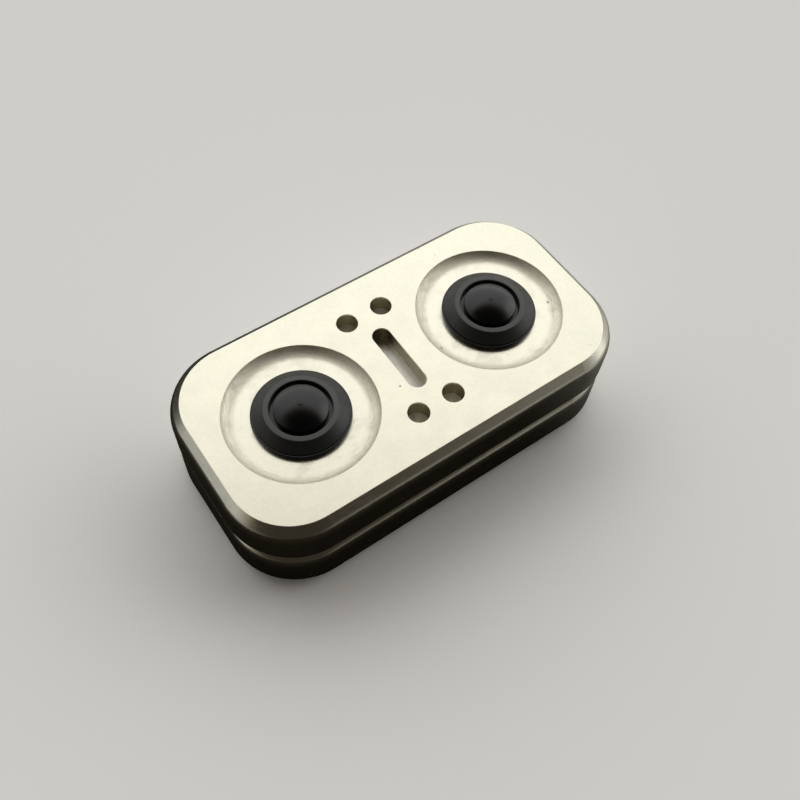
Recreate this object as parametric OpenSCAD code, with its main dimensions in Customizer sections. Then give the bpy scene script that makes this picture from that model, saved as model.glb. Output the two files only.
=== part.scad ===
// Two-plate magnetic push slider with two sprung push buttons.
// Origin: middle of the resting face. +X is the sliding direction, +Z is up.
// Millimetres throughout.

/* [Plates] */
// Length of each plate, along the sliding direction
plate_l = 49.8; // [49:0.1:56]
// Width of each plate
plate_w = 25.8; // [25.8:0.1:30]
// Thickness of each plate
plate_h = 6.5; // [6.5:0.1:8]
// Gap between the two plates
plate_gap = 0.2; // [0.15:0.05:0.3]
// Corner radius of the plates in plan
corner_r = 8.2; // [7:0.1:9]
// Width of the chamfer round the outer face
chamfer_w = 1.2; // [0.8:0.1:1.5]
// Height of the chamfer round the outer face
chamfer_h = 1.2; // [0.8:0.05:1.5]
// Radius of the shoulder between chamfer and side wall
shoulder_r = 1.5; // [0.5:0.1:1.8]
// Radius of the round on the inner edge
edge_r = 1.5; // [0.3:0.1:1.6]

/* [Thumb dishes] */
// Distance between the centres of the two dishes
dish_spacing = 25.3; // [25:0.1:26.5]
// Radius of a dish at its rim
dish_r = 8.55; // [8.5:0.05:9]
// Depth of a dish
dish_depth = 0.8; // [0.7:0.05:1]
// Radius of the hollow wall between floor and rim
dish_cove_r = 1.4; // [1.1:0.1:2]

/* [Slot and blind holes] */
// Width of the slot
slot_w = 2.2; // [1.8:0.1:2.6]
// Length of the slot, end to end
slot_l = 9; // [7:0.5:10]
// Depth of the slot
slot_depth = 2.2; // [1.5:0.1:2.5]
// Diameter of the blind holes
hole_d = 2.5; // [2:0.1:2.8]
// Depth of a blind hole's straight wall
hole_depth = 2.1; // [1.5:0.1:2.3]
// Hole spacing along the length
hole_pitch_x = 4.6; // [4:0.1:5]
// Hole spacing across the width
hole_pitch_y = 14; // [13.5:0.1:14.5]
// Point angle of the drill that made the holes
drill_angle = 118; // [118:1:140]

/* [Buttons] */
// Outer radius of the housing's flange
collar_r = 5.45; // [5.4:0.05:5.5]
// Height of the flange above the dish floor
collar_h = 0.56; // [0.5:0.02:0.7]
// Height of the bezel's crest above the plate
bezel_rise = 0.8; // [0.7:0.05:1]
// Outer radius of the bezel
bezel_r = 5.2; // [5:0.05:5.3]
// Radius of the hole that the cap shows in
bezel_bore_r = 3.4; // [3.3:0.05:3.5]
// Height of the groove between flange and bezel
seam_h = 0.06; // [0.05:0.01:0.15]
// Radius of the cap where it shows
cap_r = 2.95; // [2.8:0.05:3.1]
// Height of the cap's top above the plate
cap_rise = 1.8; // [1.6:0.05:1.9]
// Height of the dome over the cap's edge
dome_h = 1; // [0.8:0.05:1.2]
// Travel of a button
press_travel = 0.9; // [0.6:0.05:1]

/* [Slide] */
// Travel of the top plate each way from the middle
slide_travel = 10; // [6:0.5:10]
// Diameter of the guide pins
pin_d = 2; // [1.5:0.1:2.2]
// Distance between the guide pins
pin_spacing = 10; // [9:0.5:10]
// Running clearance of a pin in its groove
pin_clearance = 0.03; // [0.02:0.01:0.08]

/* [Track plates and screws] */
// Length of the track plates
track_l = 44; // [43:0.5:45]
// Width of the track plates
track_w = 22; // [22:0.25:23]
// Thickness of the track plates
track_t = 0.8; // [0.8:0.05:1]
// Corner radius of the track plates
track_corner_r = 6; // [5:0.25:6.5]
// Screw spacing along the length
screw_pitch_x = 36.4; // [36:0.1:37]
// Screw spacing across the width
screw_pitch_y = 14.4; // [14:0.1:15]
// Thread diameter of the screws
screw_d = 1.6; // [1.4:0.1:1.8]
// Length of the screws
screw_l = 3; // [2.5:0.1:3.2]

/* [Magnets] */
// Diameter of the magnets
magnet_d = 5; // [4:0.1:5]
// Thickness of the magnets
magnet_h = 2; // [1.5:0.1:2]
// Magnets in one row
magnet_count = 5; // [3:2:5]
// Spacing of the magnets in a row
magnet_pitch = 7; // [6:0.1:7]
// Spacing of the two rows
magnet_rows = 16.6; // [16:0.1:17]

/* [Hidden] */

$fn = 96;
eps = 0.01;         // overlap of a cutting tool past the face that it opens
fit_gap = 0.03;     // room round a piece that is set into another one
run_gap = 0.05;     // clearance of a piece that moves in another one

// Heights of the two plates
upper_z = plate_h + plate_gap;
top_z = upper_z + plate_h;
dish_z = top_z - dish_depth;
LEFT = -dish_spacing / 2;
RIGHT = dish_spacing / 2;
FRONT = -1;
BACK = 1;

// Screws
head_r = 1.45;
head_flat = 0.05;
drive_af = 0.9;
drive_depth = 0.5;

// Groove and glide strips
groove_z = track_t + 1.1;
pin_l = 4.6;
pin_reach = 1.6;
pin_chamfer = 0.2;
strip_l = 36;
strip_w = 2.5;
strip_y = 4.2;
strip_sunk = 0.4;
strip_run = 0.02;

// Button housing
barrel_r = 4.6;
barrel_bore_r = 3.75;
barrel_seat_r = 4.3;
seat_depth = 0.7;
clip_t = 0.6;
clip_r = 5.05;
clip_groove_r = 4.2;
clip_mouth = 5;
counterbore_r = 5.1;
counterbore_h = 1.5;
barrel_z = upper_z + track_t;
clip_z = upper_z + track_t + counterbore_h - clip_t - fit_gap;
collar_z = dish_z + collar_h;
collar_edge = 0.08;

// Seal in the flange's groove
seal_r = 0.15;
seal_mean_r = 5.05;

// Bezel
crest_z = top_z + bezel_rise;
crest_out_r = 4;
crest_round = 0.12;
crest_drop = 0.04;
bezel_base_z = collar_z + seam_h;
bezel_edge_h = 0.1;
lip_under_z = top_z + 0.15;

// Cap
cap_top_z = top_z + cap_rise;
skirt_r = barrel_bore_r - run_gap;
skirt_top_z = lip_under_z - run_gap;
skirt_h = 1.3;
nib_r = 0.8;
moulding_nub_r = 0.28;
moulding_nub_h = 0.05;

// Switch base, click dome and spring
base_h = 0.9;
base_z = upper_z + track_t - fit_gap;
dome_foot_r = 2.2;
dome_rise = 0.6;
dome_t = 0.12;
nib_floor_gap = 0.1;
spring_mean_r = 2.95;
spring_wire_r = 0.18;
spring_turns = 4;
spring_steps = 24;
spring_sides = 8;
spring_low_z = base_z + base_h + spring_wire_r + fit_gap;
spring_high_z = skirt_top_z - skirt_h - spring_wire_r - fit_gap;

// ---------- shapes that repeat ----------

// Half of a plate's cross-section: inner face at y = 0, outer face at y = plate_h
module half_section(half) {
    slope = atan2(chamfer_h, chamfer_w);
    tangent = shoulder_r * tan((90 - slope) / 2);
    shoulder_y = plate_h - chamfer_h - tangent;
    polygon([[0, 0], [half - edge_r, 0], [half - edge_r, edge_r], [half, edge_r],
        [half, shoulder_y],
        [half - tangent * cos(slope), plate_h - chamfer_h + tangent * sin(slope)],
        [half - chamfer_w, plate_h], [0, plate_h]]);
    translate([half - edge_r, edge_r]) circle(edge_r);
    translate([half - shoulder_r, shoulder_y]) circle(shoulder_r);
}

module full_section(half) {
    half_section(half);
    mirror([1, 0]) half_section(half);
}

// Solid plate with its inner face at z = 0 and its chamfered face up
module plate_blank() {
    rotate([90, 0, 90])
        linear_extrude(plate_l - 2 * corner_r, center = true) full_section(plate_w / 2);
    rotate([90, 0, 0])
        linear_extrude(plate_w - 2 * corner_r, center = true) full_section(plate_l / 2);
    for (x = [-1, 1], y = [-1, 1])
        translate([x * (plate_l / 2 - corner_r), y * (plate_w / 2 - corner_r), 0])
            rotate_extrude() half_section(corner_r);
}

// Flat block with round corners
module round_block(l, w, h, r) {
    cube_l = l - 2 * r;
    cube_w = w - 2 * r;
    translate([-l / 2, -cube_w / 2, 0]) cube([l, cube_w, h]);
    translate([-cube_l / 2, -w / 2, 0]) cube([cube_l, w, h]);
    for (x = [-1, 1], y = [-1, 1])
        translate([x * cube_l / 2, y * cube_w / 2, 0]) cylinder(h = h, r = r);
}

// Slot with round ends, along X
module obround(l, w, h) {
    straight = l - w;
    translate([-straight / 2, -w / 2, 0]) cube([straight, w, h]);
    for (x = [-1, 1]) translate([x * straight / 2, 0, 0]) cylinder(h = h, d = w);
}

// Cutter for a thumb dish, with its rim at z = 0
module dish_cutter() {
    reach = sqrt(pow(dish_cove_r, 2) - pow(dish_cove_r - dish_depth, 2));
    rotate_extrude(convexity = 4) {
        translate([0, -dish_depth]) square([dish_r - reach, dish_depth + 1]);
        intersection() {
            translate([dish_r - reach, dish_cove_r - dish_depth]) circle(dish_cove_r, $fn = 180);
            translate([dish_r - reach - eps, -dish_depth]) square([reach + eps, dish_depth]);
        }
        translate([dish_r - reach - eps, -eps]) square([reach + eps, 1]);
    }
}

// Blind hole with a drill point, its mouth at z = 0
module drilled_hole() {
    point_h = hole_d / 2 / tan(drill_angle / 2);
    translate([0, 0, -hole_depth]) cylinder(h = hole_depth + 1, d = hole_d);
    translate([0, 0, -hole_depth - point_h])
        cylinder(h = point_h + eps, r1 = 0, r2 = hole_d / 2 * (1 + eps / point_h));
}

module at_corners(pitch_x, pitch_y) {
    for (x = [-1, 1], y = [-1, 1])
        translate([x * pitch_x / 2, y * pitch_y / 2, 0]) children();
}

module magnet_row(side, r, h) {
    for (i = [0 : magnet_count - 1])
        translate([(i - (magnet_count - 1) / 2) * magnet_pitch, side * magnet_rows / 2, 0])
            cylinder(h = h, r = r);
}

// Everything that both plates have cut into their inner faces, at z = 0
module inner_pockets() {
    translate([0, 0, -1])
        round_block(track_l + 2 * fit_gap, track_w + 2 * fit_gap, track_t + 1, track_corner_r);
    for (side = [FRONT, BACK])
        magnet_row(side, magnet_d / 2 + fit_gap, track_t + magnet_h + 2 * fit_gap);
    at_corners(screw_pitch_x, screw_pitch_y) cylinder(h = screw_l + 0.3, d = screw_d);
}

// Track plate with its exposed face at z = 0 and countersinks in that face
module track_sheet() {
    difference() {
        round_block(track_l, track_w, track_t - fit_gap, track_corner_r);
        at_corners(screw_pitch_x, screw_pitch_y) {
            translate([0, 0, -eps]) cylinder(h = track_t + 1, r = screw_d / 2 + fit_gap);
            translate([0, 0, -eps])
                cylinder(h = head_flat + eps, r = head_r + fit_gap);
            translate([0, 0, head_flat])
                cylinder(h = head_r - screw_d / 2, r1 = head_r + fit_gap, r2 = screw_d / 2 + fit_gap);
        }
    }
}

// Countersunk screw with a hexagon socket, head face at z = 0, pointing up
module track_screw() {
    head_h = head_flat + head_r - screw_d / 2;
    difference() {
        union() {
            cylinder(h = head_flat, r = head_r);
            translate([0, 0, head_flat])
                cylinder(h = head_h - head_flat, r1 = head_r, r2 = screw_d / 2);
            cylinder(h = screw_l, d = screw_d - fit_gap);
        }
        translate([0, 0, -eps]) cylinder(h = drive_depth, d = drive_af / cos(30), $fn = 6);
    }
}

// Turns a shape made on z = 0 for the top plate over, into the bottom plate
module in_lower() {
    translate([0, 0, plate_h]) mirror([0, 0, 1]) children();
}

module in_upper() {
    translate([0, 0, upper_z]) children();
}

// ---------- bottom plate and what is fixed in it ----------

module lower_plate() {
    color("#d6d2c0")
        in_lower()
            difference() {
                plate_blank();
                for (x = [LEFT, RIGHT]) translate([x, 0, plate_h]) dish_cutter();
                inner_pockets();
                translate([0, 0, -1])
                    obround(pin_spacing + 2 * slide_travel + pin_d + 4 * pin_clearance,
                        pin_d + 4 * pin_clearance, groove_z + 1);
            }
}

module lower_track_plate() {
    color("#b9bcc0")
        in_lower()
            difference() {
                track_sheet();
                translate([0, 0, -1])
                    obround(pin_spacing + 2 * slide_travel + pin_d + 2 * pin_clearance,
                        pin_d + 2 * pin_clearance, track_t + 2);
                for (side = [FRONT, BACK])
                    translate([-strip_l / 2, side * strip_y - strip_w / 2, -1])
                        cube([strip_l, strip_w, strip_sunk + 1]);
            }
}

module glide_strip(side) {
    color("#e8e4d8")
        translate([0, side * strip_y, plate_h - strip_sunk])
            round_block(strip_l - 2 * fit_gap, strip_w - 2 * fit_gap,
                strip_sunk + plate_gap - strip_run, strip_w / 4);
}

module lower_track_screws() {
    color("#3c3c3e")
        in_lower() at_corners(screw_pitch_x, screw_pitch_y) track_screw();
}

module lower_magnets(side) {
    color("#c9ccd0")
        in_lower() translate([0, 0, track_t]) magnet_row(side, magnet_d / 2, magnet_h);
}

// ---------- top plate and what is fixed in it ----------

module upper_plate() {
    color("#e6e2d2")
        in_upper()
            difference() {
                plate_blank();
                for (x = [LEFT, RIGHT]) translate([x, 0, 0]) {
                    translate([0, 0, plate_h]) dish_cutter();
                    translate([0, 0, -1]) cylinder(h = plate_h + 2, r = barrel_r + fit_gap);
                    translate([0, 0, -1])
                        cylinder(h = track_t + counterbore_h + 1, r = counterbore_r);
                }
                translate([0, 0, plate_h - slot_depth])
                    rotate([0, 0, 90]) obround(slot_l, slot_w, slot_depth + 1);
                translate([0, 0, plate_h]) at_corners(hole_pitch_x, hole_pitch_y) drilled_hole();
                inner_pockets();
                for (x = [-1, 1]) translate([x * pin_spacing / 2, 0, 0])
                    cylinder(h = pin_l - pin_reach + fit_gap, d = pin_d);
            }
}

module upper_track_plate() {
    color("#b9bcc0")
        in_upper()
            difference() {
                track_sheet();
                for (x = [-1, 1]) translate([x * pin_spacing / 2, 0, -1])
                    cylinder(h = track_t + 2, r = pin_d / 2 + fit_gap);
            }
}

module upper_track_screws() {
    color("#3c3c3e")
        in_upper() at_corners(screw_pitch_x, screw_pitch_y) track_screw();
}

module upper_magnets(side) {
    color("#c9ccd0")
        in_upper() translate([0, 0, track_t]) magnet_row(side, magnet_d / 2, magnet_h);
}

module guide_pin(side) {
    color("#d2d4d6")
        translate([side * pin_spacing / 2, 0, upper_z - pin_reach]) {
            cylinder(h = pin_chamfer, r1 = pin_d / 2 - pin_chamfer, r2 = pin_d / 2);
            translate([0, 0, pin_chamfer]) cylinder(h = pin_l - pin_chamfer, d = pin_d);
        }
}

// Flanged housing: the flange stands in the dish, the barrel goes down through the plate
module button_collar(x) {
    color("#1d1e1d")
        translate([x, 0, 0])
            difference() {
                union() {
                    translate([0, 0, barrel_z]) cylinder(h = collar_z - barrel_z, r = barrel_r);
                    translate([0, 0, dish_z]) cylinder(h = collar_h - collar_edge, r = collar_r);
                    translate([0, 0, collar_z - collar_edge])
                        cylinder(h = collar_edge, r1 = collar_r, r2 = collar_r - collar_edge);
                }
                translate([0, 0, barrel_z - 1]) cylinder(h = plate_h + 2, r = barrel_bore_r);
                translate([0, 0, collar_z - seat_depth])
                    cylinder(h = seat_depth + 1, r = barrel_seat_r);
                translate([0, 0, clip_z - fit_gap]) difference() {
                    cylinder(h = clip_t + 2 * fit_gap, r = barrel_r + 1);
                    translate([0, 0, -1]) cylinder(h = clip_t + 2, r = clip_groove_r);
                }
                translate([0, 0, dish_z]) rotate_extrude()
                    translate([seal_mean_r - seal_r - fit_gap, -1])
                        square([2 * (seal_r + fit_gap), 1 + 2 * seal_r + fit_gap]);
            }
}

module collar_seal(x) {
    color("#101010")
        translate([x, 0, dish_z + seal_r])
            rotate_extrude() translate([seal_mean_r, 0]) circle(seal_r, $fn = 32);
}

module retaining_clip(x) {
    color("#8f9296")
        translate([x, 0, clip_z])
            difference() {
                cylinder(h = clip_t, r = clip_r);
                translate([0, 0, -1]) cylinder(h = clip_t + 2, r = clip_groove_r + fit_gap);
                translate([0, -clip_mouth / 2, -1]) cube([clip_r + 1, clip_mouth, clip_t + 2]);
            }
}

// Conical ring with a rounded crest, on a spigot that sits in the housing
module bezel(x) {
    spigot_r = barrel_seat_r - fit_gap;
    spigot_low_z = collar_z - seat_depth;
    edge_z = bezel_base_z + bezel_edge_h;
    crest_mid_r = bezel_bore_r + crest_round;
    color("#222423")
        translate([x, 0, 0])
            rotate_extrude(convexity = 4)
                difference() {
                    union() {
                        polygon([[bezel_bore_r, bezel_base_z], [bezel_r, bezel_base_z],
                            [bezel_r, edge_z], [crest_out_r, crest_z - crest_drop],
                            [crest_mid_r, crest_z], [crest_mid_r, crest_z - crest_round],
                            [bezel_bore_r, crest_z - crest_round]]);
                        translate([crest_mid_r, crest_z - crest_round]) circle(crest_round);
                        translate([barrel_bore_r, spigot_low_z])
                            square([spigot_r - barrel_bore_r, bezel_base_z - spigot_low_z + eps]);
                    }
                    square([barrel_bore_r, lip_under_z]);
                }
}

module switch_base(x) {
    color("#3a3a34")
        translate([x, 0, base_z]) cylinder(h = base_h, r = barrel_bore_r - fit_gap);
}

// Thin click dome that stands on the base
module snap_dome(x) {
    ball_r = (pow(dome_foot_r, 2) + pow(dome_rise, 2)) / 2 / dome_rise;
    color("#c0a86a")
        translate([x, 0, base_z + base_h])
            rotate_extrude() intersection() {
                translate([0, dome_rise - ball_r]) difference() {
                    circle(ball_r);
                    circle(ball_r - dome_t);
                }
                square([dome_foot_r + 1, dome_rise + 1]);
            }
}

// Points of one ring of the spring's wire, at step i
function spring_height(t) = spring_low_z + (spring_high_z - spring_low_z)
    * max(0, min(1, (t - 0.5) / (spring_turns - 1)));
function spring_ring(i) =
    let (t = i / spring_steps, a = 360 * t, z = spring_height(t))
    [for (k = [0 : spring_sides - 1])
        let (b = 360 * k / spring_sides, r = spring_mean_r + spring_wire_r * cos(b))
        [r * cos(a), r * sin(a), z + spring_wire_r * sin(b)]];

module button_spring(x) {
    rings = spring_turns * spring_steps;
    points = [for (i = [0 : rings]) each spring_ring(i)];
    sides = [for (i = [0 : rings - 1], k = [0 : spring_sides - 1])
        let (n = (k + 1) % spring_sides, low = i * spring_sides, high = low + spring_sides)
        [low + k, low + n, high + n, high + k]];
    low_end = [for (k = [0 : spring_sides - 1]) spring_sides - 1 - k];
    high_end = [for (k = [0 : spring_sides - 1]) rings * spring_sides + k];
    color("#aab0b4")
        translate([x, 0, 0]) polyhedron(points, concat([low_end], sides, [high_end]), convexity = 8);
}

// Domed cap: skirt under the bezel's lip, plunger nib over the click dome
module button_cap(x) {
    edge_z = cap_top_z - dome_h;
    ball_r = (pow(cap_r, 2) + pow(dome_h, 2)) / 2 / dome_h;
    nib_z = base_z + base_h + press_travel + nib_floor_gap;
    skirt_z = skirt_top_z - skirt_h;
    color("#151615")
        translate([x, 0, 0])
            rotate_extrude() {
                translate([0, skirt_z]) square([skirt_r, skirt_h]);
                translate([0, skirt_z]) square([cap_r, edge_z - skirt_z]);
                intersection() {
                    translate([0, cap_top_z - ball_r]) circle(ball_r, $fn = 180);
                    translate([0, edge_z - eps]) square([cap_r, dome_h + eps]);
                }
                translate([0, nib_z]) square([nib_r, skirt_z - nib_z + eps]);
                translate([0, cap_top_z - eps]) square([moulding_nub_r, moulding_nub_h + eps]);
            }
}

// ---------- nodes ----------

lower_plate();
lower_track_plate();
lower_track_screws();
lower_magnets(FRONT);  // lower_magnets_front
lower_magnets(BACK);  // lower_magnets_back
glide_strip(FRONT);  // glide_strip_front
glide_strip(BACK);  // glide_strip_back
upper_plate();
upper_track_plate();
upper_track_screws();
upper_magnets(FRONT);  // upper_magnets_front
upper_magnets(BACK);  // upper_magnets_back
guide_pin(-1);  // guide_pin_left
guide_pin(1);  // guide_pin_right
button_collar(LEFT);  // button_collar_left
button_collar(RIGHT);  // button_collar_right
collar_seal(LEFT);  // collar_seal_left
collar_seal(RIGHT);  // collar_seal_right
retaining_clip(LEFT);  // retaining_clip_left
retaining_clip(RIGHT);  // retaining_clip_right
bezel(LEFT);  // bezel_left
bezel(RIGHT);  // bezel_right
switch_base(LEFT);  // switch_base_left
switch_base(RIGHT);  // switch_base_right
snap_dome(LEFT);  // snap_dome_left
snap_dome(RIGHT);  // snap_dome_right
button_spring(LEFT);  // button_spring_left
button_spring(RIGHT);  // button_spring_right
button_cap(LEFT);  // button_cap_left
button_cap(RIGHT);  // button_cap_right
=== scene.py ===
"""Looks of a two-plate push slider: finishes for its CAD nodes, studio and camera."""
import math
from types import SimpleNamespace

import bpy
from mathutils import Matrix, Vector


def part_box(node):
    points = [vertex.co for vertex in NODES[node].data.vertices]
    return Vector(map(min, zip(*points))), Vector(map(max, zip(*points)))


MM = 0.001

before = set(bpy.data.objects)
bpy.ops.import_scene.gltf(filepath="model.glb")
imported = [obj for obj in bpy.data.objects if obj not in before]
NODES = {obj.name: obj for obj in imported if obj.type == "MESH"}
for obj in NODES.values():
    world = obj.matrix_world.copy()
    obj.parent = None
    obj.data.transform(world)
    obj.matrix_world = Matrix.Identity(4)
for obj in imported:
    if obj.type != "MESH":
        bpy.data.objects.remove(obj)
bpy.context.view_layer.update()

# ---------- places taken from the frame ----------

PLATE_LOW, PLATE_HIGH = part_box("upper_plate")
LOWER_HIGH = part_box("lower_plate")[1]
CAP_LOW, CAP_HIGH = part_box("button_cap_right")
BEZEL_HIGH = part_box("bezel_left")[1]

# The rest are in millimetres, as in the shader graphs.
HALF_LENGTH = PLATE_HIGH.x / MM
HALF_WIDTH = PLATE_HIGH.y / MM
TOP = PLATE_HIGH.z / MM
SEAM = (PLATE_LOW.z + LOWER_HIGH.z) / 2 / MM
FACE = TOP - SEAM  # the outer faces' distance from the seam
DISH_X = (CAP_LOW.x + CAP_HIGH.x) / 2 / MM
CREST = BEZEL_HIGH.z / MM
CORNER_R = 8.2
DISH_R = 8.55

# ---------- values of the plates' finish ----------

ALLOY_WARM = (0.910, 0.890, 0.740)
ALLOY_PALE = (0.930, 0.915, 0.775)
ALLOY_TURNED = (0.930, 0.910, 0.775)
ALLOY_DULL = (0.640, 0.600, 0.450)
# Pockets: painted shade on their walls, and painted light on their bottoms
POCKET_WALL_SHADE = (0.400, 0.370, 0.270)
POCKET_BOTTOM_LIGHT = (0.980, 0.970, 0.900)
PIT_DIRT = (0.20, 0.17, 0.12)

# Lowest and highest roughness of each kind of surface
FACE_ROUGH = (0.32, 0.40)
DISH_ROUGH = (0.30, 0.38)
BOTTOM_ROUGH = (0.34, 0.48)
WALL_ROUGH = (0.24, 0.34)
OUTSIDE_ROUGH = (0.17, 0.27)

RELIEF_MM = 0.004
PLATE_EDGE_MM = 0.10

# ---------- values of the studio and camera ----------

# Azimuth 0 is +X, and 90 is +Y. Angles are in degrees.
# The photographer's patch is dark up to the core angle from its middle, and gone at the edge angle.
PHOTOGRAPHER = (238, 50)
PHOTOGRAPHER_CORE = 46
PHOTOGRAPHER_EDGE = 70
SHADE_LEVEL = 0.03
ROOM_LEVEL = 0.26

# Soft lights: azimuth, elevation, cosines of the angles where they begin and are full, and level
WINDOW = (45, 35, 0.0, 0.62, 1.10)
LAMP = (72, 60, 0.80, 0.97, 0.16)
RIGHT_CARD = (345, 20, 0.88, 0.98, 0.55)
LEFT_CARD = (160, 25, 0.84, 0.98, 0.22)

LIGHT_TINT = (1.0, 0.995, 0.98)
SHADE_TINT = (1.0, 0.84, 0.66)
BACKDROP = (0.62, 0.62, 0.61)

FLOOR_HALF = 1.5  # in metres
FLOOR_SEEN = (1.22, 1.22, 1.21)
TABLE_AZIMUTH = 28  # the reflected table gets paler this way
# Tones of the reflected table: painted shade, dark by the object's front and paler behind it
TABLE_SHADE_NEAR = (0.024, 0.021, 0.016)
TABLE_SHADE_UNDER = (0.30, 0.30, 0.30)
TABLE_FAR = (0.85, 0.85, 0.84)

# The camera's direction from its target, and its distance and target in millimetres
VIEW_AZIMUTH = 231.06
VIEW_ELEVATION = 58.50
VIEW_ROLL = 4.814
VIEW_DISTANCE = 95.8
VIEW_TARGET = (-3.08, -4.60, TOP)
SENSOR_WIDTH = 36
LENS = 40.13

# ---------- shader graphs ----------


class Graph:
    """Adds nodes to the tree of a material or world, and links them."""

    def __init__(self, owner):
        owner.use_nodes = True
        self.tree = owner.node_tree
        self.tree.nodes.clear()

    def add(self, kind, inputs=None, **settings):
        node = self.tree.nodes.new(kind)
        for key, value in settings.items():
            setattr(node, key, value)
        for key, value in (inputs or {}).items():
            self.put(node.inputs[key], value)
        return node

    def put(self, socket, value):
        if isinstance(value, bpy.types.NodeSocket):
            self.tree.links.new(value, socket)
        elif hasattr(value, "__len__") and len(value) == 3 and socket.type == "RGBA":
            socket.default_value = (*value, 1)
        else:
            socket.default_value = value

    def operate(self, kind, operation, values):
        node = self.add(kind, operation=operation)
        for socket, value in zip(node.inputs, values):
            self.put(socket, value)
        return node

    def math(self, operation, *values):
        return self.operate("ShaderNodeMath", operation, values).outputs[0]

    def scaled(self, vector, factors):
        return self.operate("ShaderNodeVectorMath", "MULTIPLY", (vector, factors)).outputs["Vector"]

    def dot(self, a, b):
        return self.operate("ShaderNodeVectorMath", "DOT_PRODUCT", (a, b)).outputs["Value"]

    def fold(self, operation, values):
        result = values[0]
        for value in values[1:]:
            result = self.math(operation, result, value)
        return result

    def total(self, *values):
        return self.fold("ADD", values)

    def product(self, *values):
        return self.fold("MULTIPLY", values)

    def largest(self, *values):
        return self.fold("MAXIMUM", values)

    def centred(self, value):
        return self.math("SUBTRACT", value, 0.5)

    def without(self, mask):
        """1 where the mask is 0, and 0 where it is 1."""
        return self.math("SUBTRACT", 1.0, mask)

    def ramp(self, value, low, high, to_low=0.0, to_high=1.0):
        """Smooth step of value from low to high."""
        node = self.add("ShaderNodeMapRange", {"Value": value, "From Min": low, "From Max": high,
                                               "To Min": to_low, "To Max": to_high},
                        interpolation_type="SMOOTHSTEP")
        return node.outputs[0]

    def fall(self, value, low, high):
        """Smooth step down: 1 where value is below low, and 0 above high."""
        return self.ramp(value, low, high, 1.0, 0.0)

    def band(self, value, centre, half, soft):
        """1 where value is within half of centre, falling to 0 over soft."""
        off = self.math("ABSOLUTE", self.math("SUBTRACT", value, centre))
        return self.fall(off, half, half + soft)

    def noise(self, vector, scale, detail=2.0, roughness=0.5):
        node = self.add("ShaderNodeTexNoise", {"Vector": vector, "Scale": scale, "Detail": detail,
                                               "Roughness": roughness})
        return node.outputs[0]

    def line_noise(self, value, scale, detail=2.0):
        """Noise that changes along one value only."""
        node = self.add("ShaderNodeTexNoise", {"W": value, "Scale": scale, "Detail": detail},
                        noise_dimensions="1D")
        return node.outputs[0]

    def mix(self, factor, a, b):
        """Blend of two colours."""
        node = self.add("ShaderNodeMix", {0: factor, 6: a, 7: b}, data_type="RGBA")
        return node.outputs[2]

    def blend(self, factor, a, b):
        """Blend of two numbers."""
        node = self.add("ShaderNodeMix", {0: factor, 2: a, 3: b}, data_type="FLOAT")
        return node.outputs[0]

    def millimetres(self):
        """The point in the object's own frame, in millimetres."""
        return self.scaled(self.add("ShaderNodeTexCoord").outputs["Object"], (1 / MM,) * 3)

    def parts(self, vector):
        """X, Y and Z of a vector."""
        outputs = self.add("ShaderNodeSeparateXYZ", {0: vector}).outputs
        return outputs[0], outputs[1], outputs[2]

    def rounded(self, radius_mm, samples=4):
        """Normal that rounds sharp edges off."""
        return self.add("ShaderNodeBevel", {"Radius": radius_mm * MM}, samples=samples).outputs[0]

    def bump(self, height, depth_mm, normal=None):
        inputs = {"Height": height, "Strength": 1.0, "Distance": depth_mm * MM}
        if normal is not None:
            inputs["Normal"] = normal
        return self.add("ShaderNodeBump", inputs).outputs[0]

    def surface(self, **inputs):
        """Principled shader on the material's output. Underscores in names stand for spaces."""
        shader = self.add("ShaderNodeBsdfPrincipled")
        for key, value in inputs.items():
            self.put(shader.inputs[key.replace("_", " ")], value)
        self.add("ShaderNodeOutputMaterial", {0: shader.outputs[0]})


def new_material(name):
    material = bpy.data.materials.new(name)
    return material, Graph(material)


def length_2d(g, a, b):
    return g.math("SQRT", g.total(g.product(a, a), g.product(b, b)))


def outline_distance(g, x, y):
    """Distance in millimetres outside the plates' round-cornered outline, negative inside."""
    over_x = g.math("SUBTRACT", g.math("ABSOLUTE", x), HALF_LENGTH - CORNER_R)
    over_y = g.math("SUBTRACT", g.math("ABSOLUTE", y), HALF_WIDTH - CORNER_R)
    outside = length_2d(g, g.largest(over_x, 0.0), g.largest(over_y, 0.0))
    inside = g.math("MINIMUM", g.largest(over_x, over_y), 0.0)
    return g.math("SUBTRACT", g.total(outside, inside), CORNER_R)


def from_dish(g, x, y):
    """Offset along X and distance from the axis of the dish on the point's own side."""
    dish_x = g.math("SUBTRACT", g.math("ABSOLUTE", x), DISH_X)
    return dish_x, length_2d(g, dish_x, y)


def arc_strokes(g, a, b, radius, across, along):
    """Noise drawn out into arcs round the point where a and b are 0."""
    turned = g.add("ShaderNodeCombineXYZ", {0: g.product(radius, across),
                                            1: g.product(g.math("DIVIDE", a, radius), along),
                                            2: g.product(g.math("DIVIDE", b, radius), along)})
    return g.noise(turned.outputs[0], scale=1.0, roughness=0.6)


def pits(g, point, scale, share):
    """Sparse round spots: 1 inside a spot. share is how many cells of the pattern have one."""
    cells = g.add("ShaderNodeTexVoronoi", {"Vector": point, "Scale": scale}, feature="F1")
    draw = g.add("ShaderNodeSeparateColor", {0: cells.outputs["Color"]}).outputs[0]
    return g.product(g.math("LESS_THAN", draw, share), g.fall(cells.outputs["Distance"], 0.03, 0.08))


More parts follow.
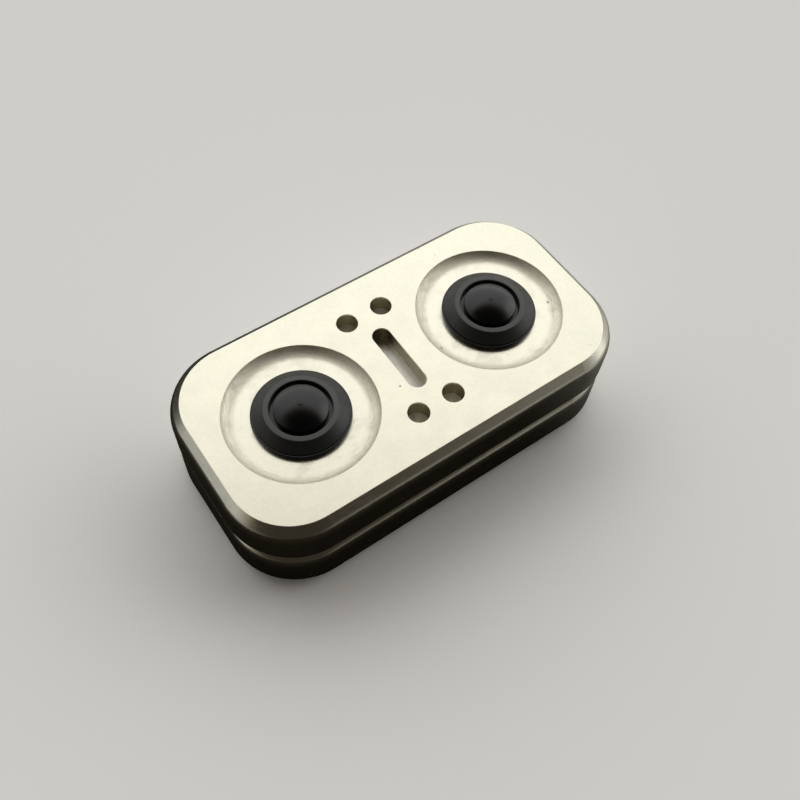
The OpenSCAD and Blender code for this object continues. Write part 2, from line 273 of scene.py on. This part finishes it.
def scratches(g, point, angle, width, share, pitch=5.0):
    """Fine straight hairlines along one direction in the XY plane, about one in 1 / pitch millimetres."""
    turned = g.add("ShaderNodeMapping", {"Vector": point, "Rotation": (0, 0, math.radians(angle)),
                                         "Scale": (pitch * 0.06, pitch, 1.0)}).outputs[0]
    line = g.band(g.noise(turned, scale=1.0, detail=1.0, roughness=0.4), 0.5, width, width)
    patch = g.ramp(g.noise(point, scale=0.45, detail=1.0), 1 - share, 1.08 - share)
    return g.product(line, patch)


# ---------- the plates' metal ----------


def plate_places(g, point):
    """Masks of the plates' kinds of surface, and the point's place by the nearest dish."""
    x, y, z = g.parts(point)
    flat = g.math("ABSOLUTE", g.parts(g.add("ShaderNodeTexCoord").outputs["Normal"])[2])
    level = g.math("ABSOLUTE", g.math("SUBTRACT", z, SEAM))
    dish_x, dish_r = from_dish(g, x, y)
    outer = g.ramp(level, FACE - 1.6, FACE - 1.4)
    dish = g.product(g.fall(dish_r, DISH_R - 0.03, DISH_R + 0.01), outer)
    border = g.ramp(outline_distance(g, x, y), -4.0, -3.0)
    wall = g.fall(flat, 0.2, 0.45)
    pocket = g.product(g.fall(level, FACE - 0.25, FACE - 0.15), g.without(border), g.without(dish))
    return SimpleNamespace(
        y=y,
        dish_x=dish_x,
        dish_r=dish_r,
        dish=dish,
        rim=g.product(g.band(dish_r, DISH_R - 0.02, half=0.03, soft=0.09), outer),
        cove=g.product(dish, g.ramp(dish_r, DISH_R - 1.6, DISH_R - 0.8)),
        face=g.ramp(flat, 0.9, 0.97),
        wall=wall,
        pocket=pocket,
        bottom=g.product(pocket, g.without(wall)),
        outside=g.product(g.fall(flat, 0.80, 0.95), border, g.without(dish)))


def plate_marks(g, point, at):
    """Patterns on the plates: grain, stains, tool marks, scratches and pits."""
    scuff = g.largest(scratches(g, point, angle=38, width=0.030, share=0.50, pitch=4.0),
                      scratches(g, point, angle=-42, width=0.030, share=0.48, pitch=3.5),
                      scratches(g, point, angle=84, width=0.025, share=0.45, pitch=3.0))
    spots = g.largest(pits(g, point, scale=0.42, share=0.16), pits(g, point, scale=1.1, share=0.05))
    return SimpleNamespace(
        grain=g.noise(point, scale=9.0, detail=3.0, roughness=0.6),
        cloud=g.noise(point, scale=0.35, detail=3.0, roughness=0.55),
        fleck=g.noise(point, scale=2.6),
        turning=g.line_noise(at.dish_r, scale=9.0, detail=3.0),
        grooves=g.line_noise(at.dish_r, scale=24.0, detail=1.0),
        strokes=arc_strokes(g, at.dish_x, at.y, at.dish_r, across=7.0, along=9.0),
        sweep=g.noise(g.scaled(point, (0.5, 0.5, 6.0)), scale=1.6, detail=3.0, roughness=0.6),
        tool=g.noise(g.scaled(point, (1.6, 5.0, 1.0)), scale=2.2, roughness=0.6),
        pits=g.product(spots, at.face),
        hair=g.largest(scratches(g, point, angle=24, width=0.004, share=0.42),
                       scratches(g, point, angle=-58, width=0.003, share=0.38)),
        scuff=g.product(scuff, at.dish))


def plate_colour(g, at, marks):
    """The alloy's tones, laid over each other by mask and share, with painted shade on the pockets' walls and
    painted light on their bottoms.
    """
    colour = g.mix(g.ramp(marks.cloud, 0.3, 0.7), ALLOY_WARM, ALLOY_PALE)
    for mask, share, tone in ((at.dish, 0.85, ALLOY_TURNED),
                              (g.ramp(marks.fleck, 0.35, 0.6), 0.10, ALLOY_DULL),
                              # Painted shade on the pockets' walls, and painted light on their bottoms
                              (g.product(at.pocket, at.wall), 1.0, POCKET_WALL_SHADE),
                              (at.bottom, 1.0, POCKET_BOTTOM_LIGHT),
                              (at.rim, 0.25, ALLOY_DULL),
                              (g.product(at.cove, g.ramp(marks.strokes, 0.44, 0.68)), 0.16, ALLOY_DULL),
                              (marks.pits, 0.75, PIT_DIRT)):
        colour = g.mix(g.product(mask, share), colour, tone)
    return colour


def plate_roughness(g, at, marks):
    """Each kind of surface varies within its own range, and coves and scratches are rougher."""
    rough = g.ramp(marks.cloud, 0.25, 0.75, *FACE_ROUGH)
    dish = g.total(g.ramp(marks.turning, 0.2, 0.8, *DISH_ROUGH), g.product(at.cove, 0.16),
                   g.product(at.cove, g.ramp(marks.strokes, 0.35, 0.65), 0.14))
    for mask, value in ((at.dish, dish),
                        (at.bottom, g.ramp(marks.tool, 0.3, 0.7, *BOTTOM_ROUGH)),
                        (at.wall, g.ramp(marks.sweep, 0.2, 0.8, *WALL_ROUGH)),
                        (at.outside, g.ramp(marks.sweep, 0.2, 0.8, *OUTSIDE_ROUGH))):
        rough = g.blend(mask, rough, value)
    return g.total(rough, g.product(marks.hair, 0.10), g.product(marks.scuff, 0.08))


def plate_relief(g, at, marks):
    """Sum of pattern, mask and height, where height 1 is RELIEF_MM."""
    on_face = g.product(at.face, g.without(at.dish))
    layers = ((g.centred(marks.grain), 1.0, g.blend(on_face, 0.15, 0.42)),
              (marks.turning, at.dish, 1.4),
              (marks.strokes, at.cove, 3.0),
              (marks.grooves, at.cove, 2.4),
              (marks.sweep, at.wall, 0.35),
              (marks.tool, at.pocket, g.blend(at.bottom, 3.0, 10.0)),
              (marks.hair, 1.0, -0.25),
              (marks.scuff, 1.0, -0.7),
              (marks.pits, 1.0, -8.0))
    return g.total(*(g.product(*layer) for layer in layers))


def plate_metal():
    """Pale satin nickel alloy. Faces are fine-blasted, dishes are turned, walls and pockets are milled."""
    material, g = new_material("plate_metal")
    point = g.millimetres()
    at = plate_places(g, point)
    marks = plate_marks(g, point, at)
    normal = g.bump(plate_relief(g, at, marks), RELIEF_MM, g.rounded(PLATE_EDGE_MM, samples=6))
    g.surface(Base_Color=plate_colour(g, at, marks), Metallic=1.0,
              Roughness=plate_roughness(g, at, marks), Normal=normal)
    return material


# ---------- the other finishes ----------


def plain_metal(name, colour, rough, stretch, depth_mm):
    """Metal with a grain stretched along one direction, mottled roughness and faint tarnish."""
    material, g = new_material(name)
    point = g.millimetres()
    grain = g.noise(g.scaled(point, stretch), scale=3.0, detail=3.0, roughness=0.6)
    cloud = g.noise(point, scale=0.8)
    darker = tuple(c * 0.78 for c in colour)
    tone = g.mix(g.ramp(cloud, 0.25, 0.75), darker, colour)
    roughness = g.ramp(grain, 0.2, 0.8, rough - 0.06, rough + 0.08)
    g.surface(Base_Color=tone, Metallic=1.0, Roughness=roughness, Normal=g.bump(grain, depth_mm))
    return material


def moulding_marks(g, point, rub_scale, dust_share):
    """Fine spark-eroded grain, rubbed patches, and dust."""
    grain = g.noise(point, scale=14.0, roughness=0.6)
    rubbed = g.noise(point, scale=rub_scale)
    dust = g.ramp(g.noise(point, scale=6.0, detail=1.0, roughness=0.4), 0.66, 0.74)
    return grain, rubbed, g.product(dust, dust_share)


def moulding_roughness(g, grain, rubbed, rough, smoother):
    """Roughness that falls where the moulding is rubbed, with the grain in it."""
    return g.total(g.ramp(rubbed, 0.25, 0.8, rough + smoother, rough - smoother),
                   g.product(g.centred(grain), 0.12))


def moulded(name, colour, worn, rough, depth_mm=0.003, dust_share=0.35, edge_mm=0.05):
    """Moulded plastic or rubber: fine grain, dust in it and shinier rubbed patches."""
    material, g = new_material(name)
    grain, rubbed, dust = moulding_marks(g, g.millimetres(), 0.7, dust_share)
    tone = g.mix(g.ramp(rubbed, 0.3, 0.75), colour, worn)
    tone = g.mix(dust, tone, tuple(min(1.0, c * 2.2 + 0.012) for c in worn))
    g.surface(Base_Color=tone, Roughness=moulding_roughness(g, grain, rubbed, rough, 0.05),
              Normal=g.bump(grain, depth_mm, g.rounded(edge_mm)))
    return material


def bezel_moulding():
    """Matte black moulding. The bezels' crests are paler: a painted highlight, and wear where thumbs rub
    them.
    """
    material, g = new_material("bezel_plastic")
    point = g.millimetres()
    x, y, z = g.parts(point)
    grain, rubbed, dust = moulding_marks(g, point, 0.9, 0.35)
    turns = g.line_noise(from_dish(g, x, y)[1], scale=5.0)
    # Painted highlight on the crest band, partly thumb wear too
    crest_highlight = g.ramp(g.total(z, g.product(g.centred(grain), 0.05)), CREST - 0.09, CREST - 0.03)
    tone = g.mix(g.ramp(rubbed, 0.3, 0.75), (0.0095, 0.0105, 0.0095), (0.016, 0.0175, 0.0155))
    tone = g.mix(crest_highlight, tone, (0.085, 0.088, 0.085))
    tone = g.mix(dust, tone, (0.055, 0.055, 0.052))
    height = g.total(grain, g.product(turns, 0.5))
    g.surface(Base_Color=tone, Roughness=moulding_roughness(g, grain, rubbed, 0.40, 0.04),
              Normal=g.bump(height, 0.003, g.rounded(0.05)))
    return material


def give(material, *names):
    """Puts the material on CAD nodes, in all their slots."""
    for name in names:
        mesh = NODES[name].data
        mesh.materials.clear()
        mesh.materials.append(material)


def finish_nodes():
    """Puts a finish on every CAD node."""
    give(plate_metal(), "upper_plate", "lower_plate")
    bezel_plastic = bezel_moulding()
    cap_plastic = moulded("cap_plastic", colour=(0.0015, 0.0018, 0.0022), worn=(0.003, 0.0035, 0.0041),
                          rough=0.21, depth_mm=0.001, dust_share=0.12, edge_mm=0.12)
    seal_rubber = moulded("seal_rubber", colour=(0.008, 0.008, 0.008), worn=(0.014, 0.014, 0.013), rough=0.62)
    base_plastic = moulded("base_plastic", colour=(0.09, 0.088, 0.07), worn=(0.12, 0.118, 0.10), rough=0.5)
    glide_plastic = moulded("glide_plastic", colour=(0.80, 0.77, 0.69), worn=(0.86, 0.84, 0.78), rough=0.38,
                            dust_share=0.1)
    track_steel = plain_metal("track_steel", colour=(0.62, 0.62, 0.62), rough=0.30,
                              stretch=(0.15, 6.0, 6.0), depth_mm=0.003)
    pin_steel = plain_metal("pin_steel", colour=(0.66, 0.67, 0.68), rough=0.24,
                            stretch=(1.0, 1.0, 5.0), depth_mm=0.002)
    magnet_plating = plain_metal("magnet_plating", colour=(0.80, 0.79, 0.76), rough=0.14,
                                 stretch=(1.0, 1.0, 1.0), depth_mm=0.002)
    screw_steel = plain_metal("screw_steel", colour=(0.055, 0.055, 0.06), rough=0.38,
                              stretch=(1.0, 1.0, 1.0), depth_mm=0.003)
    dome_brass = plain_metal("dome_brass", colour=(0.72, 0.53, 0.25), rough=0.25,
                             stretch=(4.0, 0.6, 1.0), depth_mm=0.002)
    for side in ("left", "right"):
        give(bezel_plastic, "bezel_" + side)
        give(cap_plastic, "button_cap_" + side, "button_collar_" + side)
        give(seal_rubber, "collar_seal_" + side)
        give(base_plastic, "switch_base_" + side)
        give(dome_brass, "snap_dome_" + side)
        give(pin_steel, "guide_pin_" + side, "retaining_clip_" + side, "button_spring_" + side)
    for level in ("upper", "lower"):
        give(track_steel, level + "_track_plate")
        give(screw_steel, level + "_track_screws")
        give(magnet_plating, level + "_magnets_front", level + "_magnets_back")
    give(glide_plastic, "glide_strip_front", "glide_strip_back")


# ---------- studio ----------


def cosine(degrees):
    return math.cos(math.radians(degrees))


def aim(azimuth, elevation):
    """Unit vector towards a direction in degrees. Azimuth 0 is +X, and 90 is +Y."""
    azimuth, elevation = math.radians(azimuth), math.radians(elevation)
    return (math.cos(azimuth) * math.cos(elevation), math.sin(azimuth) * math.cos(elevation),
            math.sin(elevation))


def studio_floor():
    """Large plain pale floor. In reflections it is a darker table with painted shade, darkest on the camera's
    side of the object and paler behind it.
    """
    mesh = bpy.data.meshes.new("floor")
    corners = [(sx * FLOOR_HALF, sy * FLOOR_HALF, 0) for sx, sy in ((-1, -1), (1, -1), (1, 1), (-1, 1))]
    mesh.from_pydata(corners, [], [(0, 1, 2, 3)])
    floor = bpy.data.objects.new("floor", mesh)
    bpy.context.scene.collection.objects.link(floor)
    material, g = new_material("floor")
    seen = g.add("ShaderNodeLightPath").outputs["Is Camera Ray"]
    pale = g.add("ShaderNodeBsdfDiffuse", {"Color": FLOOR_SEEN}).outputs[0]
    along = g.dot(g.millimetres(), aim(TABLE_AZIMUTH, 0))
    # Painted shade on the reflected table, lifting away from the camera's side
    tone = g.mix(g.ramp(along, 2.0, 34.0), TABLE_SHADE_NEAR, TABLE_SHADE_UNDER)
    tone = g.mix(g.ramp(along, 32.0, 60.0), tone, TABLE_FAR)
    table = g.add("ShaderNodeBsdfDiffuse", {"Color": tone}).outputs[0]
    both = g.add("ShaderNodeMixShader", {0: seen, 1: table, 2: pale}).outputs[0]
    g.add("ShaderNodeOutputMaterial", {0: both})
    mesh.materials.append(material)


def studio_world():
    """Soft light from behind and from both sides, with the dark patch of a photographer who leans in."""
    world = bpy.data.worlds.new("studio")
    bpy.context.scene.world = world
    g = Graph(world)
    direction = g.add("ShaderNodeTexCoord").outputs["Generated"]

    def soft_light(azimuth, elevation, begin, full, level, around=0.0):
        return g.ramp(g.dot(direction, aim(azimuth, elevation)), begin, full, around, level)

    person = g.dot(direction, aim(*PHOTOGRAPHER))
    clear = g.fall(person, cosine(PHOTOGRAPHER_EDGE), cosine(PHOTOGRAPHER_CORE))
    behind = g.total(soft_light(*WINDOW, around=ROOM_LEVEL), soft_light(*LAMP))
    level = g.total(g.blend(clear, SHADE_LEVEL, behind), soft_light(*RIGHT_CARD), soft_light(*LEFT_CARD))
    tint = g.mix(clear, SHADE_TINT, LIGHT_TINT)
    light = g.add("ShaderNodeBackground", {"Color": tint, "Strength": level}).outputs[0]
    backdrop = g.add("ShaderNodeBackground", {"Color": BACKDROP, "Strength": 1.0}).outputs[0]
    seen = g.add("ShaderNodeLightPath").outputs["Is Camera Ray"]
    both = g.add("ShaderNodeMixShader", {0: seen, 1: light, 2: backdrop}).outputs[0]
    g.add("ShaderNodeOutputWorld", {0: both})


def camera():
    """Camera at the photograph's angle, distance and roll."""
    back = Vector(aim(VIEW_AZIMUTH, VIEW_ELEVATION))
    level = Vector(aim(VIEW_AZIMUTH + 90, 0))
    rise = back.cross(level)
    roll = math.radians(VIEW_ROLL)
    right = level * math.cos(roll) + rise * math.sin(roll)
    up = rise * math.cos(roll) - level * math.sin(roll)
    data = bpy.data.cameras.new("camera")
    data.sensor_width = SENSOR_WIDTH
    data.lens = LENS
    data.clip_start = 0.005
    data.clip_end = 20
    eye = bpy.data.objects.new("camera", data)
    bpy.context.scene.collection.objects.link(eye)
    axes = Matrix((right, up, back)).transposed().to_4x4()
    eye.matrix_world = Matrix.Translation((Vector(VIEW_TARGET) + back * VIEW_DISTANCE) * MM) @ axes
    bpy.context.scene.camera = eye


finish_nodes()
studio_floor()
studio_world()
camera()
bpy.context.scene.view_settings.view_transform = "Standard"
